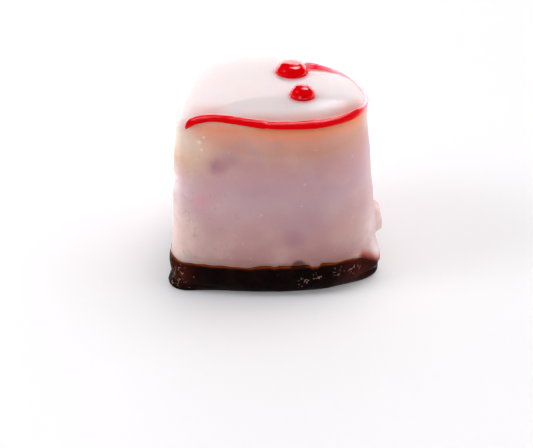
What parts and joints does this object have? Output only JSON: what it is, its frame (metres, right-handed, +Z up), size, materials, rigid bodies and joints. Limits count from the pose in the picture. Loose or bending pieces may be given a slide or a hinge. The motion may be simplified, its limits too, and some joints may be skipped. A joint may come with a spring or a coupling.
{
  "type": "heart petit four",
  "caption": "Small heart-shaped mousse cake: pale pink glazed mousse on a dark chocolate base, with a red piped line along its rim and round red drops on its top.",
  "frame": {"origin": "middle of the footprint, on the surface that the cake stands on", "axes": "+Z up through the top of the cake; -Y towards the point of the heart and +Y towards its notch; +X towards the lobe with the small drop"},
  "size_m": [0.0438, 0.0428, 0.0404],
  "materials": {
    "pale_glaze": "wet pale pink mirror glaze over mousse, with red jelly piping and drops",
    "dark_chocolate": "dark chocolate coating, satin to glossy, slightly lumpy"
  },
  "bodies": {
    "root": {"mousse_heart": "pale_glaze", "chocolate_base": "dark_chocolate"}
  },
  "joints": []
}
